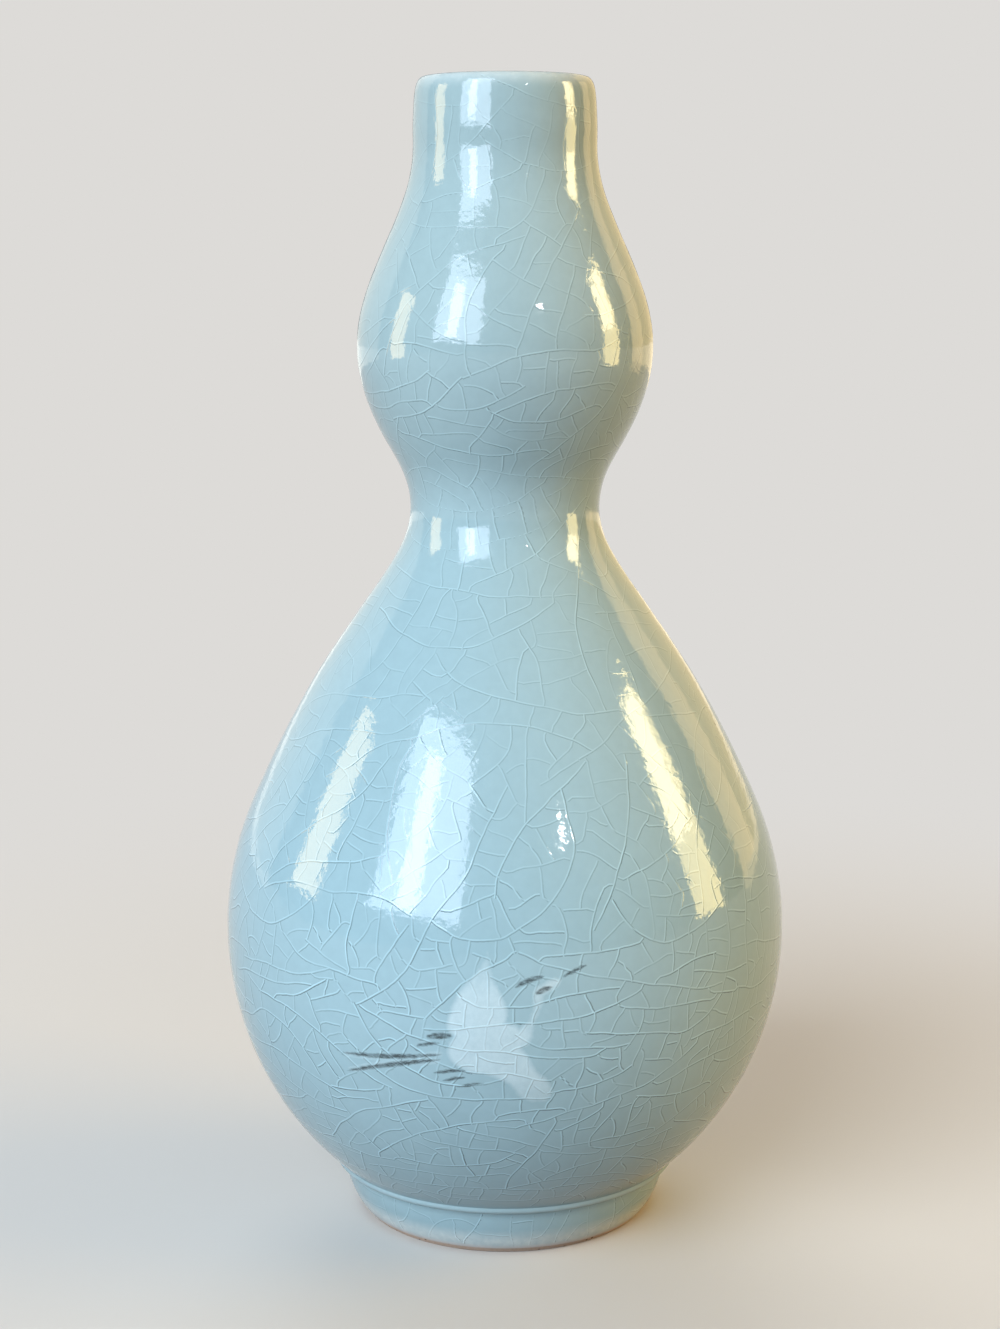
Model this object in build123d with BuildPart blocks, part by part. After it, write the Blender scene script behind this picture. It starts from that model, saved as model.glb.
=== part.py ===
from build123d import *
import os
from math import acos, asin, atan2, cos, degrees, hypot, radians, sin, sqrt, tan

# A double gourd vase in celadon. All lengths are in millimetres, +Z is up, and the origin is the
# centre of the face that the vase rests on. The crane looks towards -Y.

# Outline, measured over the fired glaze from the resting face up
belly_radius = 46.0
belly_height = 48.3
belly_arc_radius = 52.0
waist_radius = 15.25
belly_to_waist = 69.3
bulb_radius = 23.6
waist_to_bulb = 26.8
neck_radius = 14.45
bulb_to_neck = 31.3
neck_length = 9.3

# How the swelling and hollow arcs between those radii share the turn
shoulder_start_share = 0.456
shoulder_fullness_share = 0.854
waist_fullness_share = 0.954
bulb_lower_share = 0.678
flare_fullness_share = 0.847
bulb_upper_share = 0.358

# Lip, a long outer round that closes into a small one over the rim
lip_side_radius = 4.5
lip_turn = 38.0

# Clay, glaze and slip
clay_wall = 2.8
floor_thickness = 4.5
floor_corner_radius = 9.0
glaze_thickness = 0.4
slip_thickness = 0.5
waist_bevel = 45.0

# Foot ring, its recess and the bead of slip squeezed out above it
recess_height = 5.5
foot_top_radius = 26.6
foot_top_height = 9.0
foot_flare = 3.0
foot_rest_width = 3.8
foot_swell = 0.8
foot_edge_round = 0.35
ledge_width = 1.45
bead_radius = 0.6
bead_rise = 0.3
bare_edge_height = 1.0
glaze_edge_thickness = 0.12

# Inlaid crane, from the tips of its legs to the tip of its beak, drawn about the middle of its body,
# which lies a drop below the belly's widest level
crane_length = 36.4
crane_drop = 6.3
inlay_depth = 0.8

# Room by which a cutting face passes what it cuts
overrun = 2.0

waist_height = belly_height + belly_to_waist
bulb_height = waist_height + waist_to_bulb
neck_height = bulb_height + bulb_to_neck
vase_height = neck_height + neck_length
wall = clay_wall + 2 * glaze_thickness
clay_inside = glaze_thickness + clay_wall
lip_radius = neck_radius - wall / 2
foot_rest_radius = foot_top_radius - foot_flare
foot_bore_radius = foot_rest_radius - foot_rest_width
crane_height = belly_height - crane_drop


def arcs_between(wide_radius, narrow_radius, span, fullness_share, wide_share):
    """Radii of the swelling and the hollow arc between two levels, and the angle where they part."""
    step = wide_radius - narrow_radius
    both = fullness_share * (step**2 + span**2) / (2 * step)
    across = both - step
    parting = atan2(span, across) - acos(both / hypot(across, span))
    return wide_share * both, both - wide_share * both, degrees(parting)


bulb_lower_arc, waist_arc, waist_angle = arcs_between(
    bulb_radius, waist_radius, waist_to_bulb, waist_fullness_share, bulb_lower_share
)
bulb_upper_arc, flare_arc, flare_angle = arcs_between(
    bulb_radius, neck_radius, bulb_to_neck, flare_fullness_share, bulb_upper_share
)

# Below its widest level the belly is one arc, which ends on the ledge over the foot ring
ledge_radius = foot_top_radius + ledge_width
ledge_step = belly_radius - ledge_radius
ledge_drop = belly_height - foot_top_height
underbelly_arc = (ledge_step**2 + ledge_drop**2) / (2 * ledge_step)
underbelly_centre = Vector(belly_radius - underbelly_arc, belly_height)
ledge_angle = -2 * degrees(atan2(ledge_step, ledge_drop))
bead_drop = ledge_drop - bead_rise
bead_centre = Vector(
    underbelly_centre.X + sqrt((underbelly_arc - glaze_thickness) ** 2 - bead_drop**2),
    belly_height - bead_drop,
)

# Above it the belly's arc hands over to a flatter shoulder, which runs straight into the waist's hollow
belly_centre = Vector(belly_radius - belly_arc_radius, belly_height)
waist_centre = Vector(waist_radius + waist_arc, waist_height)
shoulder_angle = shoulder_start_share * 2 * degrees(atan2(belly_radius - waist_radius, belly_to_waist))
shoulder_normal = Vector(cos(radians(shoulder_angle)), sin(radians(shoulder_angle)))
shoulder_start = belly_centre + shoulder_normal * belly_arc_radius
waist_reach = shoulder_start - waist_centre
shoulder_arc = (
    shoulder_fullness_share
    * (waist_reach.dot(waist_reach) - waist_arc**2)
    / (2 * (shoulder_normal.dot(waist_reach) + waist_arc))
)
shoulder_centre = shoulder_start - shoulder_normal * shoulder_arc
shoulder_to_waist = waist_centre - shoulder_centre
hollow_angle = degrees(
    atan2(shoulder_to_waist.Y, shoulder_to_waist.X)
    - acos((shoulder_arc + waist_arc) / shoulder_to_waist.length)
)

# The lip's two rounds meet where the side has turned by lip_turn
lip_small_radius = (wall / 2 - lip_side_radius * (1 - cos(radians(lip_turn)))) / cos(radians(lip_turn))
lip_side_height = (
    vase_height
    - lip_small_radius
    - (lip_side_radius - lip_small_radius) * sin(radians(lip_turn))
)


def belly_lines(depth, foot_angle):
    """Draws the belly and the shoulder at a depth under the glaze, from an angle of the underbelly up."""
    underbelly = CenterArc(underbelly_centre, underbelly_arc - depth, foot_angle, -foot_angle)
    CenterArc(belly_centre, belly_arc_radius - depth, 0, shoulder_angle)
    shoulder = CenterArc(
        shoulder_centre, shoulder_arc - depth, shoulder_angle, hollow_angle - shoulder_angle
    )
    return underbelly, shoulder


def surface_lines(depth, foot_angle):
    """Draws the outline at a depth under the glaze, from an angle of the underbelly up to the neck."""
    underbelly, shoulder = belly_lines(depth, foot_angle)
    waist = CenterArc(
        waist_centre, waist_arc + depth, 180 + hollow_angle, -hollow_angle - waist_angle
    )
    bulb_lower = CenterArc(
        (bulb_radius - bulb_lower_arc, bulb_height), bulb_lower_arc - depth, -waist_angle, waist_angle
    )
    bulb_upper = CenterArc(
        (bulb_radius - bulb_upper_arc, bulb_height), bulb_upper_arc - depth, 0, flare_angle
    )
    flare = CenterArc(
        (neck_radius + flare_arc, neck_height), flare_arc + depth, 180 + flare_angle, -flare_angle
    )
    Line(shoulder @ 1, waist @ 0)
    Line(waist @ 1, bulb_lower @ 0)
    Line(bulb_upper @ 1, flare @ 0)
    return underbelly, flare


def lip_lines(neck_end, depth, side):
    """Draws half of the lip: side 1 is its outer half, and side -1 its inner half."""
    across = neck_radius - lip_side_radius if side > 0 else neck_radius - wall + lip_side_radius
    long_round = CenterArc(
        (across, lip_side_height), lip_side_radius - depth, 90 - 90 * side, lip_turn * side
    )
    small_round = CenterArc(
        (lip_radius, vase_height - lip_small_radius),
        lip_small_radius - depth,
        90 - 90 * side + lip_turn * side,
        (90 - lip_turn) * side,
    )
    Line(neck_end, long_round @ 0)
    return small_round


def body_face(depth, mode=Mode.ADD):
    """Face of everything inside the outline at a depth under the glaze, up to the crest of the lip."""
    underside = recess_height + depth - glaze_thickness
    seat_radius = (foot_bore_radius + foot_top_radius) / 2
    with BuildLine() as outline:
        underbelly, flare = surface_lines(depth, ledge_angle)
        lip = lip_lines(flare @ 1, depth, 1)
        Polyline(
            lip @ 1,
            (0, vase_height - depth),
            (0, underside),
            (seat_radius, underside),
            underbelly @ 0,
        )
    make_face(outline.edges(), mode=mode)


def belly_face(depth, mode=Mode.ADD):
    """Face of everything inside the belly and the shoulder at a depth under the glaze."""
    with BuildLine() as outline:
        underbelly, shoulder = belly_lines(depth, ledge_angle)
        top = shoulder @ 1
        bottom = underbelly @ 0
        Polyline(top, (0, top.Y), (0, bottom.Y), bottom)
    make_face(outline.edges(), mode=mode)


def hollow_face(depth, mode=Mode.ADD):
    """Face of the hollow inside, bounded at a depth under the outer glaze and open over the lip."""
    skin = wall - depth
    floor = recess_height + floor_thickness + glaze_thickness - skin
    corner = floor_corner_radius + skin
    corner_height = floor + corner
    corner_reach = underbelly_arc - depth - corner
    corner_drop = belly_height - corner_height
    corner_radius = underbelly_centre.X + sqrt(corner_reach**2 - corner_drop**2)
    corner_angle = -degrees(asin(corner_drop / corner_reach))
    with BuildLine() as outline:
        _, flare = surface_lines(depth, corner_angle)
        lip = lip_lines(flare @ 1, skin, -1)
        corner_arc = CenterArc((corner_radius, corner_height), corner, -90, corner_angle + 90)
        Polyline(
            lip @ 1,
            (lip_radius, vase_height + overrun),
            (0, vase_height + overrun),
            (0, floor),
            corner_arc @ 0,
        )
    make_face(outline.edges(), mode=mode)


def below_joint_face(rise, mode=Mode.ADD):
    """Face of everything below the waist's bevel, which falls outwards and is raised by a slip's rise."""
    slope = tan(radians(waist_bevel))
    middle = waist_height + rise / cos(radians(waist_bevel)) + slope * (waist_radius - wall / 2)
    reach = belly_radius + overrun
    with BuildLine() as outline:
        Polyline((0, 0), (reach, 0), (reach, middle - slope * reach), (0, middle), (0, 0))
    make_face(outline.edges(), mode=mode)


def band_face(low, high, inner, outer, mode=Mode.ADD):
    """Rectangle between two heights and two radii."""
    with Locations((inner, low)):
        Rectangle(outer - inner, high - low, align=(Align.MIN, Align.MIN), mode=mode)


def foot_face(edge_skin, skin, mode=Mode.ADD):
    """Face of the foot ring, covered by a skin that is thinner at the foot's edge, and not yet fitted on top."""
    rest = foot_rest_radius + edge_skin
    swell = (foot_rest_radius + foot_top_radius) / 2 + foot_swell + skin
    top = foot_top_radius + skin
    with BuildLine() as outline:
        side = ThreePointArc((rest, 0), (swell, foot_top_height / 2), (top, foot_top_height))
        Polyline(side @ 1, (foot_bore_radius, foot_top_height), (foot_bore_radius, 0), side @ 0)
    make_face(outline.edges(), mode=mode)


def bead_face(skin, mode=Mode.ADD):
    """Circle of the bead of slip, whose centre lies on the clay just above the ledge."""
    with Locations(bead_centre):
        Circle(bead_radius + skin, mode=mode)


def finish(piece, name):
    """Names a finished piece and writes its file."""
    piece.part.label = name
    export_step(piece.part, f"parts/{name}.step")


os.makedirs("parts", exist_ok=True)

# The slip under the body, from the foot's bore out to the bead, and the ring that it holds
with BuildSketch() as foot_slip_section:
    body_face(glaze_thickness - slip_thickness)
    band_face(0, bead_centre.Y, foot_bore_radius, bead_centre.X, mode=Mode.INTERSECT)
    bead_face(0)
    body_face(glaze_thickness, mode=Mode.SUBTRACT)

with BuildSketch() as foot_section:
    foot_face(0, 0)
    body_face(glaze_thickness - slip_thickness, mode=Mode.SUBTRACT)
    rest_round = min(foot_edge_round, foot_rest_width / 4)
    fillet(foot_section.vertices().group_by(Axis.Y)[0], radius=rest_round)

with BuildPart() as foot_joint_slip:
    with BuildSketch(Plane.XZ):
        add(foot_slip_section.sketch)
    revolve(axis=Axis.Z)
finish(foot_joint_slip, "foot_joint_slip")

with BuildPart() as foot_ring:
    with BuildSketch(Plane.XZ):
        add(foot_section.sketch)
    revolve(axis=Axis.Z)
finish(foot_ring, "foot_ring")

# The crane. Its outlines are shares of its length, to the right of and above the middle of its body
body_shares = [
    (-0.233, -0.035),
    (-0.130, -0.112),
    (-0.020, -0.098),
    (0.072, 0.012),
    (0.062, 0.085),
    (-0.060, 0.120),
    (-0.190, 0.075),
]
raised_wing_shares = [
    (-0.228, 0.080),
    (-0.208, 0.165),
    (-0.162, 0.245),
    (-0.104, 0.325),
    (-0.068, 0.348),
    (-0.035, 0.260),
    (0.008, 0.135),
    (-0.060, 0.050),
]
lower_wing_shares = [
    (-0.110, -0.100),
    (0.000, -0.150),
    (0.060, -0.225),
    (0.125, -0.248),
    (0.184, -0.232),
    (0.186, -0.168),
    (0.125, -0.095),
    (0.060, 0.000),
]
neck_shares = [
    (0.030, 0.060),
    (0.072, 0.010),
    (0.118, 0.085),
    (0.140, 0.160),
    (0.150, 0.232),
    (0.122, 0.236),
    (0.104, 0.160),
    (0.074, 0.105),
]
head_shares = [
    (0.112, 0.228),
    (0.150, 0.228),
    (0.196, 0.252),
    (0.226, 0.288),
    (0.206, 0.296),
    (0.158, 0.278),
    (0.122, 0.256),
]

# Brush strokes of black slip: start, end, width and how far the stroke bows to its left
eye_band_shares = [((0.132, 0.245), (0.190, 0.266), 0.020, 0.001)]
beak_shares = [((0.232, 0.296), (0.314, 0.343), 0.018, 0.001)]
crown_shares = [((0.058, 0.274), (0.166, 0.313), 0.022, 0.006)]
leg_shares = [
    ((-0.690, -0.092), (-0.248, -0.030), 0.022, -0.010),
    ((-0.668, -0.178), (-0.252, -0.062), 0.022, 0.020),
]
tail_quill_shares = [
    ((-0.302, 0.050), (-0.218, 0.054), 0.026, 0.002),
    ((-0.350, -0.004), (-0.262, 0.018), 0.018, 0.002),
]
wing_quill_shares = [
    ((-0.290, -0.124), (-0.166, -0.100), 0.018, 0.004),
    ((-0.244, -0.154), (-0.172, -0.132), 0.016, 0.002),
    ((-0.182, -0.180), (-0.052, -0.152), 0.016, 0.003),
]


def crane_point(share):
    """Place on the front of the vase for a share of the crane's length."""
    return Vector(share[0] * crane_length, crane_height + share[1] * crane_length)


def white_shape(shares, mode=Mode.ADD):
    """Closed smooth outline of a patch of white slip."""
    with BuildLine() as edge:
        Spline([crane_point(share) for share in shares], periodic=True)
    make_face(edge.edges(), mode=mode)


def black_strokes(strokes, mode=Mode.ADD):
    """Brush strokes of black slip, pointed at both ends."""
    for start_share, end_share, width_share, bow_share in strokes:
        start = crane_point(start_share)
        end = crane_point(end_share)
        aside = (end - start).normalized().rotate(Axis.Z, 90) * crane_length
        middle = (start + end) / 2
        with BuildLine() as edge:
            ThreePointArc(start, middle + aside * (bow_share + width_share / 2), end)
            ThreePointArc(end, middle + aside * (bow_share - width_share / 2), start)
        make_face(edge.edges(), mode=mode)


def draw_head():
    """The head, open where the black eye band crosses it."""
    white_shape(head_shares)
    black_strokes(eye_band_shares, mode=Mode.SUBTRACT)


def draw_neck():
    """The neck, between the head and the breast."""
    white_shape(neck_shares)
    white_shape(body_shares, mode=Mode.SUBTRACT)
    white_shape(head_shares, mode=Mode.SUBTRACT)


def draw_raised_wing():
    """The far wing, lifted above the back."""
    white_shape(raised_wing_shares)
    white_shape(body_shares, mode=Mode.SUBTRACT)


def draw_lower_wing():
    """The near wing, swept down below the breast."""
    white_shape(lower_wing_shares)
    white_shape(body_shares, mode=Mode.SUBTRACT)


inlay_drawings = {
    "crane_body": lambda: white_shape(body_shares),
    "crane_raised_wing": draw_raised_wing,
    "crane_lower_wing": draw_lower_wing,
    "crane_neck": draw_neck,
    "crane_head": draw_head,
    "crane_eye_band": lambda: black_strokes(eye_band_shares),
    "crane_beak": lambda: black_strokes(beak_shares),
    "crane_crown": lambda: black_strokes(crown_shares),
    "crane_legs": lambda: black_strokes(leg_shares),
    "crane_tail_quills": lambda: black_strokes(tail_quill_shares),
    "crane_wing_quills": lambda: black_strokes(wing_quill_shares),
}

# Each inlay fills a pocket carved straight in from the front, down to the inlay's depth in the clay
inlays = []
for inlay_name, draw_inlay in inlay_drawings.items():
    with BuildPart() as inlay:
        with BuildSketch(Plane.XZ):
            draw_inlay()
        extrude(amount=belly_radius + overrun)
        with BuildSketch(Plane.XZ):
            belly_face(glaze_thickness)
            belly_face(glaze_thickness + inlay_depth, mode=Mode.SUBTRACT)
        revolve(axis=Axis.Z, mode=Mode.INTERSECT)
    finish(inlay, inlay_name)
    inlays.append(inlay.part)

with BuildPart() as lower_bulb:
    with BuildSketch(Plane.XZ):
        body_face(glaze_thickness)
        hollow_face(clay_inside, mode=Mode.SUBTRACT)
        below_joint_face(0, mode=Mode.INTERSECT)
    revolve(axis=Axis.Z)
    for inlay_part in inlays:
        add(inlay_part, mode=Mode.SUBTRACT)
finish(lower_bulb, "lower_bulb")

with BuildPart() as waist_joint_slip:
    with BuildSketch(Plane.XZ):
        body_face(glaze_thickness)
        hollow_face(clay_inside, mode=Mode.SUBTRACT)
        below_joint_face(slip_thickness, mode=Mode.INTERSECT)
        below_joint_face(0, mode=Mode.SUBTRACT)
    revolve(axis=Axis.Z)
finish(waist_joint_slip, "waist_joint_slip")

with BuildPart() as upper_bulb:
    with BuildSketch(Plane.XZ):
        body_face(glaze_thickness)
        hollow_face(clay_inside, mode=Mode.SUBTRACT)
        below_joint_face(slip_thickness, mode=Mode.SUBTRACT)
    revolve(axis=Axis.Z)
finish(upper_bulb, "upper_bulb")

# The glaze outside runs from the crest of the lip over the bead and down the foot to its bare edge
with BuildPart() as outer_glaze:
    with BuildSketch(Plane.XZ):
        body_face(-slip_thickness)
        foot_face(glaze_edge_thickness, glaze_thickness)
        band_face(bare_edge_height, bead_centre.Y, foot_bore_radius, belly_radius, mode=Mode.INTERSECT)
        bead_face(glaze_thickness)
        body_face(0)
        band_face(0, belly_height, 0, foot_bore_radius, mode=Mode.SUBTRACT)
        band_face(waist_height, vase_height + overrun, 0, lip_radius, mode=Mode.SUBTRACT)
        body_face(glaze_thickness, mode=Mode.SUBTRACT)
        add(foot_slip_section.sketch, mode=Mode.SUBTRACT)
        add(foot_section.sketch, mode=Mode.SUBTRACT)
    revolve(axis=Axis.Z)
finish(outer_glaze, "outer_glaze")

# The liner glaze, from the crest of the lip down over the floor inside
with BuildPart() as inner_glaze:
    with BuildSketch(Plane.XZ):
        hollow_face(clay_inside)
        hollow_face(wall, mode=Mode.SUBTRACT)
    revolve(axis=Axis.Z)
finish(inner_glaze, "inner_glaze")

# The glaze in the foot's recess, over the underside and down the ring's bore to its bare edge
with BuildPart() as base_glaze:
    with BuildSketch(Plane.XZ):
        band_face(bare_edge_height, recess_height, 0, foot_bore_radius)
        band_face(
            0, recess_height - glaze_thickness, 0, foot_bore_radius - glaze_thickness, mode=Mode.SUBTRACT
        )
    revolve(axis=Axis.Z)
finish(base_glaze, "base_glaze")
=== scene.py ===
import math
import random

import bpy
import numpy as np
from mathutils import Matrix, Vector, noise


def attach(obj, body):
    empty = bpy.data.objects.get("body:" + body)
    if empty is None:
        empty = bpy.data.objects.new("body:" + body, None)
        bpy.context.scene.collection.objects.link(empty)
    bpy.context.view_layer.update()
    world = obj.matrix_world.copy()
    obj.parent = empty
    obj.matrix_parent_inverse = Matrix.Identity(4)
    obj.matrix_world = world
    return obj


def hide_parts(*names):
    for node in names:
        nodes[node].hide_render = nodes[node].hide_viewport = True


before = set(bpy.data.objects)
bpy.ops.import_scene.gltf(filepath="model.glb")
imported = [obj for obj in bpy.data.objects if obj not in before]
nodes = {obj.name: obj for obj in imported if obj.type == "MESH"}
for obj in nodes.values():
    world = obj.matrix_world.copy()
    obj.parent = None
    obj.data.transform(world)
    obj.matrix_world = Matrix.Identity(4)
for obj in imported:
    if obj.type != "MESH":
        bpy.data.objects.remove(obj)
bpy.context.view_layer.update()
scene = bpy.context.scene
scene.view_settings.view_transform = "Standard"

# Camera. It looks at the vase from the front, level with the upper bulb and tipped down by ten
# degrees, with the vase a hair to the right of the picture's middle.
camera_data = bpy.data.cameras.new("camera")
camera = bpy.data.objects.new("camera", camera_data)
scene.collection.objects.link(camera)
scene.camera = camera
camera_data.sensor_width = 36
camera_data.lens = 62.7
camera_data.clip_start = 0.01
camera.location = (-0.0008, -0.3726, 0.1589)
camera.rotation_euler = (math.radians(90 - 10.24), 0, 0)


# Floor. A plain pale board of matt laminate, far wider than any view of the vase.
# It is pressed smooth, so its colour drifts only faintly.
def linear(hex_colour):
    """Linear colour of an sRGB hex value."""
    channels = [int(hex_colour[i : i + 2], 16) / 255 for i in (1, 3, 5)]
    return [c / 12.92 if c <= 0.04045 else ((c + 0.055) / 1.055) ** 2.4 for c in channels] + [1]


def add_node(tree, kind, links=(), **settings):
    """Adds a node, sets its fields and sockets, and links (output socket, input name) pairs."""
    node = tree.nodes.new(kind)
    for name, value in settings.items():
        if hasattr(node, name):
            setattr(node, name, value)
        else:
            node.inputs[name.replace("_", " ")].default_value = value
    for output, name in links:
        tree.links.new(output, node.inputs[name])
    return node


def new_material(name):
    """An empty material and its node tree."""
    material = bpy.data.materials.new(name)
    material.use_nodes = True
    material.node_tree.nodes.clear()
    return material, material.node_tree


def new_piece(name, vertices, faces, normals=None):
    """A smooth object from vertices in millimetres and faces that look out, with its normals if given."""
    mesh = bpy.data.meshes.new(name)
    mesh.from_pydata((np.array(vertices, float) / 1000).tolist(), [], faces)
    mesh.polygons.foreach_set("use_smooth", [True] * len(mesh.polygons))
    if normals is not None:
        mesh.normals_split_custom_set_from_vertices(normals.tolist())
    piece = bpy.data.objects.new(name, mesh)
    scene.collection.objects.link(piece)
    return piece


def laminate():
    """Matt pale laminate. It gives the eye an even ground that takes a soft shadow."""
    material, tree = new_material("laminate")
    place = add_node(tree, "ShaderNodeTexCoord").outputs["Object"]
    # Its colour drifts over a third of a metre
    drift = add_node(tree, "ShaderNodeTexNoise", [(place, "Vector")], Scale=3.0)
    tone = add_node(tree, "ShaderNodeMix", [(drift.outputs["Fac"], "Factor")], data_type="RGBA")
    tone.inputs[6].default_value = linear("#D2D0CD")
    tone.inputs[7].default_value = linear("#D8D6D3")
    # It throws little light back up, so that the belly keeps its shade underneath
    ray = add_node(tree, "ShaderNodeLightPath")
    bounced = add_node(
        tree, "ShaderNodeMix", [(ray.outputs["Is Diffuse Ray"], 0), (tone.outputs[2], 6)], data_type="RGBA"
    )
    bounced.inputs[7].default_value = linear("#2B2A29")
    board = add_node(tree, "ShaderNodeBsdfPrincipled", [(bounced.outputs[2], "Base Color")], Roughness=0.6)
    # Further out the board fades into the plain backdrop, so that no edge shows behind the vase
    reach = add_node(tree, "ShaderNodeVectorMath", [(place, 0)], operation="LENGTH")
    share = add_node(
        tree,
        "ShaderNodeMapRange",
        [(reach.outputs["Value"], "Value")],
        interpolation_type="SMOOTHERSTEP",
        From_Min=0.06,
        From_Max=0.34,
    )
    plain = add_node(tree, "ShaderNodeEmission", Color=linear(backdrop_colour))
    seen = add_node(tree, "ShaderNodeMath", [(ray.outputs["Is Diffuse Ray"], 1)], operation="SUBTRACT")
    seen.inputs[0].default_value = 1.0
    amount = add_node(
        tree, "ShaderNodeMath", [(share.outputs[0], 0), (seen.outputs[0], 1)], operation="MULTIPLY"
    )
    both = add_node(
        tree, "ShaderNodeMixShader", [(amount.outputs[0], 0), (board.outputs[0], 1), (plain.outputs[0], 2)]
    )
    add_node(tree, "ShaderNodeOutputMaterial", [(both.outputs[0], "Surface")])
    return material


backdrop_colour = "#DDDBD8"
board_reaches, board_sides = [0.1, 150, 300, 600, 1200, 2400, 5000], 96
board_points, board_faces = [], []
for ring, reach in enumerate(board_reaches):
    for side in range(board_sides):
        turn = 2 * math.pi * side / board_sides
        board_points.append((reach * math.cos(turn), reach * math.sin(turn), 0))
        if ring:
            here, ahead = ring * board_sides + side, ring * board_sides + (side + 1) % board_sides
            board_faces.append((here - board_sides, here, ahead, ahead - board_sides))
floor = new_piece("floor", board_points, board_faces)
floor.data.materials.append(laminate())


# Studio light. Large soft boxes light the matt surfaces: a cool one at the left, a warm one at the
# right and a pale one behind. Panels that only gloss can see give the glaze its reflections: a tall
# pale one left of the middle, a narrow warm strip on each side and an amber band at the right edge.
def lamp(name, azimuth, distance, height, width, tall, colour, radiance, seen_in):
    """A lamp panel in metres, seen in matt or gloss. A matt one tips down to face the vase."""
    data = bpy.data.lights.new(name, "AREA")
    data.shape = "RECTANGLE"
    data.size, data.size_y = width, tall
    data.color = linear(colour)[:3]
    data.energy = radiance * math.pi * width * tall
    panel = bpy.data.objects.new(name, data)
    scene.collection.objects.link(panel)
    turn = math.radians(azimuth)
    panel.location = (distance * math.sin(turn), -distance * math.cos(turn), height)
    aim = Vector((0, 0, 0.09 if seen_in == "matt" else height))
    panel.rotation_euler = (panel.location - aim).to_track_quat("Z", "Y").to_euler()
    panel.visible_camera = False
    panel.visible_diffuse = seen_in == "matt"
    panel.visible_glossy = seen_in == "gloss"


world = bpy.data.worlds.new("world")
scene.world = world
world.use_nodes = True
air = world.node_tree
air.nodes.clear()
# A faint cool sky fills the shade, and the eye sees the plain backdrop
rays = add_node(air, "ShaderNodeLightPath")
straight = add_node(
    air,
    "ShaderNodeMath",
    [(rays.outputs["Is Camera Ray"], 0), (rays.outputs["Is Transmission Ray"], 1)],
    operation="ADD",
)
sky = add_node(air, "ShaderNodeBackground", Color=linear("#E0E8F2"), Strength=0.23)
backdrop = add_node(air, "ShaderNodeBackground", Color=linear(backdrop_colour), Strength=1.0)
sky_or_backdrop = add_node(
    air, "ShaderNodeMixShader", [(straight.outputs[0], 0), (sky.outputs[0], 1), (backdrop.outputs[0], 2)]
)
add_node(air, "ShaderNodeOutputWorld", [(sky_or_backdrop.outputs[0], "Surface")])
# Degrees to the right of the front, distance, height, width, tallness, colour and radiance
lamp("soft_left", -36, 2.0, 1.05, 1.8, 1.8, "#E4EFF8", 7.2, "matt")
lamp("soft_right", 88, 2.1, 0.9, 1.6, 1.6, "#FAC662", 4.7, "matt")
lamp("soft_back", 190, 2.1, 1.1, 1.6, 1.6, "#F2F4F4", 4.6, "matt")
lamp("tall_panel", -37, 1.0, 0.66, 0.70, 0.85, "#D6E6FC", 6.6, "gloss")
lamp("tall_glare", -41, 0.99, 0.60, 0.17, 0.66, "#FFFFFF", 6.0, "gloss")
lamp("left_strip", -88, 0.50, 0.24, 0.13, 0.28, "#FFE2AC", 5.6, "gloss")
lamp("right_strip", 88, 0.50, 0.255, 0.14, 0.39, "#FFE49A", 8.5, "gloss")
lamp("right_glare", 87, 0.49, 0.332, 0.10, 0.195, "#FFF0CC", 7.0, "gloss")
lamp("amber_strip", 122, 0.50, 0.22, 0.15, 0.33, "#F8D29A", 1.2, "gloss")
lamp("high_spot", 28, 0.60, 0.46, 0.016, 0.016, "#FFFFFF", 120.0, "gloss")
lamp("pale_panel", -140, 1.2, 0.6, 1.2, 1.2, "#F4F0E2", 0.9, "gloss")
lamp("warm_panel", 142, 1.2, 0.5, 1.2, 1.1, "#F6D698", 1.15, "gloss")


# Outline of the fired glaze, as (radius, height) in millimetres from the foot's bare edge up to the
# crest of the lip. The potter threw and turned it, so it is one smooth line apart from the crease.
foot_outline = [(24.51, 1.0), (25.16, 2.0), (26.12, 4.0), (26.71, 6.0), (26.96, 7.7), (26.97, 8.5)]
ledge_outline = [(26.97, 8.5), (27.25, 8.42), (27.8, 8.31), (28.4, 8.52), (28.74, 9.0), (28.78, 9.45)]
body_outline = [
    (28.76, 9.62), (33.02, 13.93), (37.29, 19.49), (40.77, 25.56), (43.4, 32.06), (45.13, 38.84),
    (45.94, 45.8), (45.8, 52.81), (44.73, 59.73), (42.73, 66.44), (39.93, 72.91), (36.87, 79.23),
    (33.6, 85.39), (30.06, 91.37), (26.18, 97.19), (22.14, 102.99), (18.21, 108.79),
    (15.46, 115.17), (15.96, 122.09), (19.09, 128.35), (22.02, 134.71), (23.5, 141.55),
    (22.92, 148.52), (20.76, 155.04), (17.95, 161.48), (15.42, 168.06), (14.46, 173.6),
    (14.47, 176.6), (14.40, 179.6), (14.27, 181.8), (14.07, 183.2), (13.5, 184.55),
    (13.12, 184.87), (12.65, 185.0),
]


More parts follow.
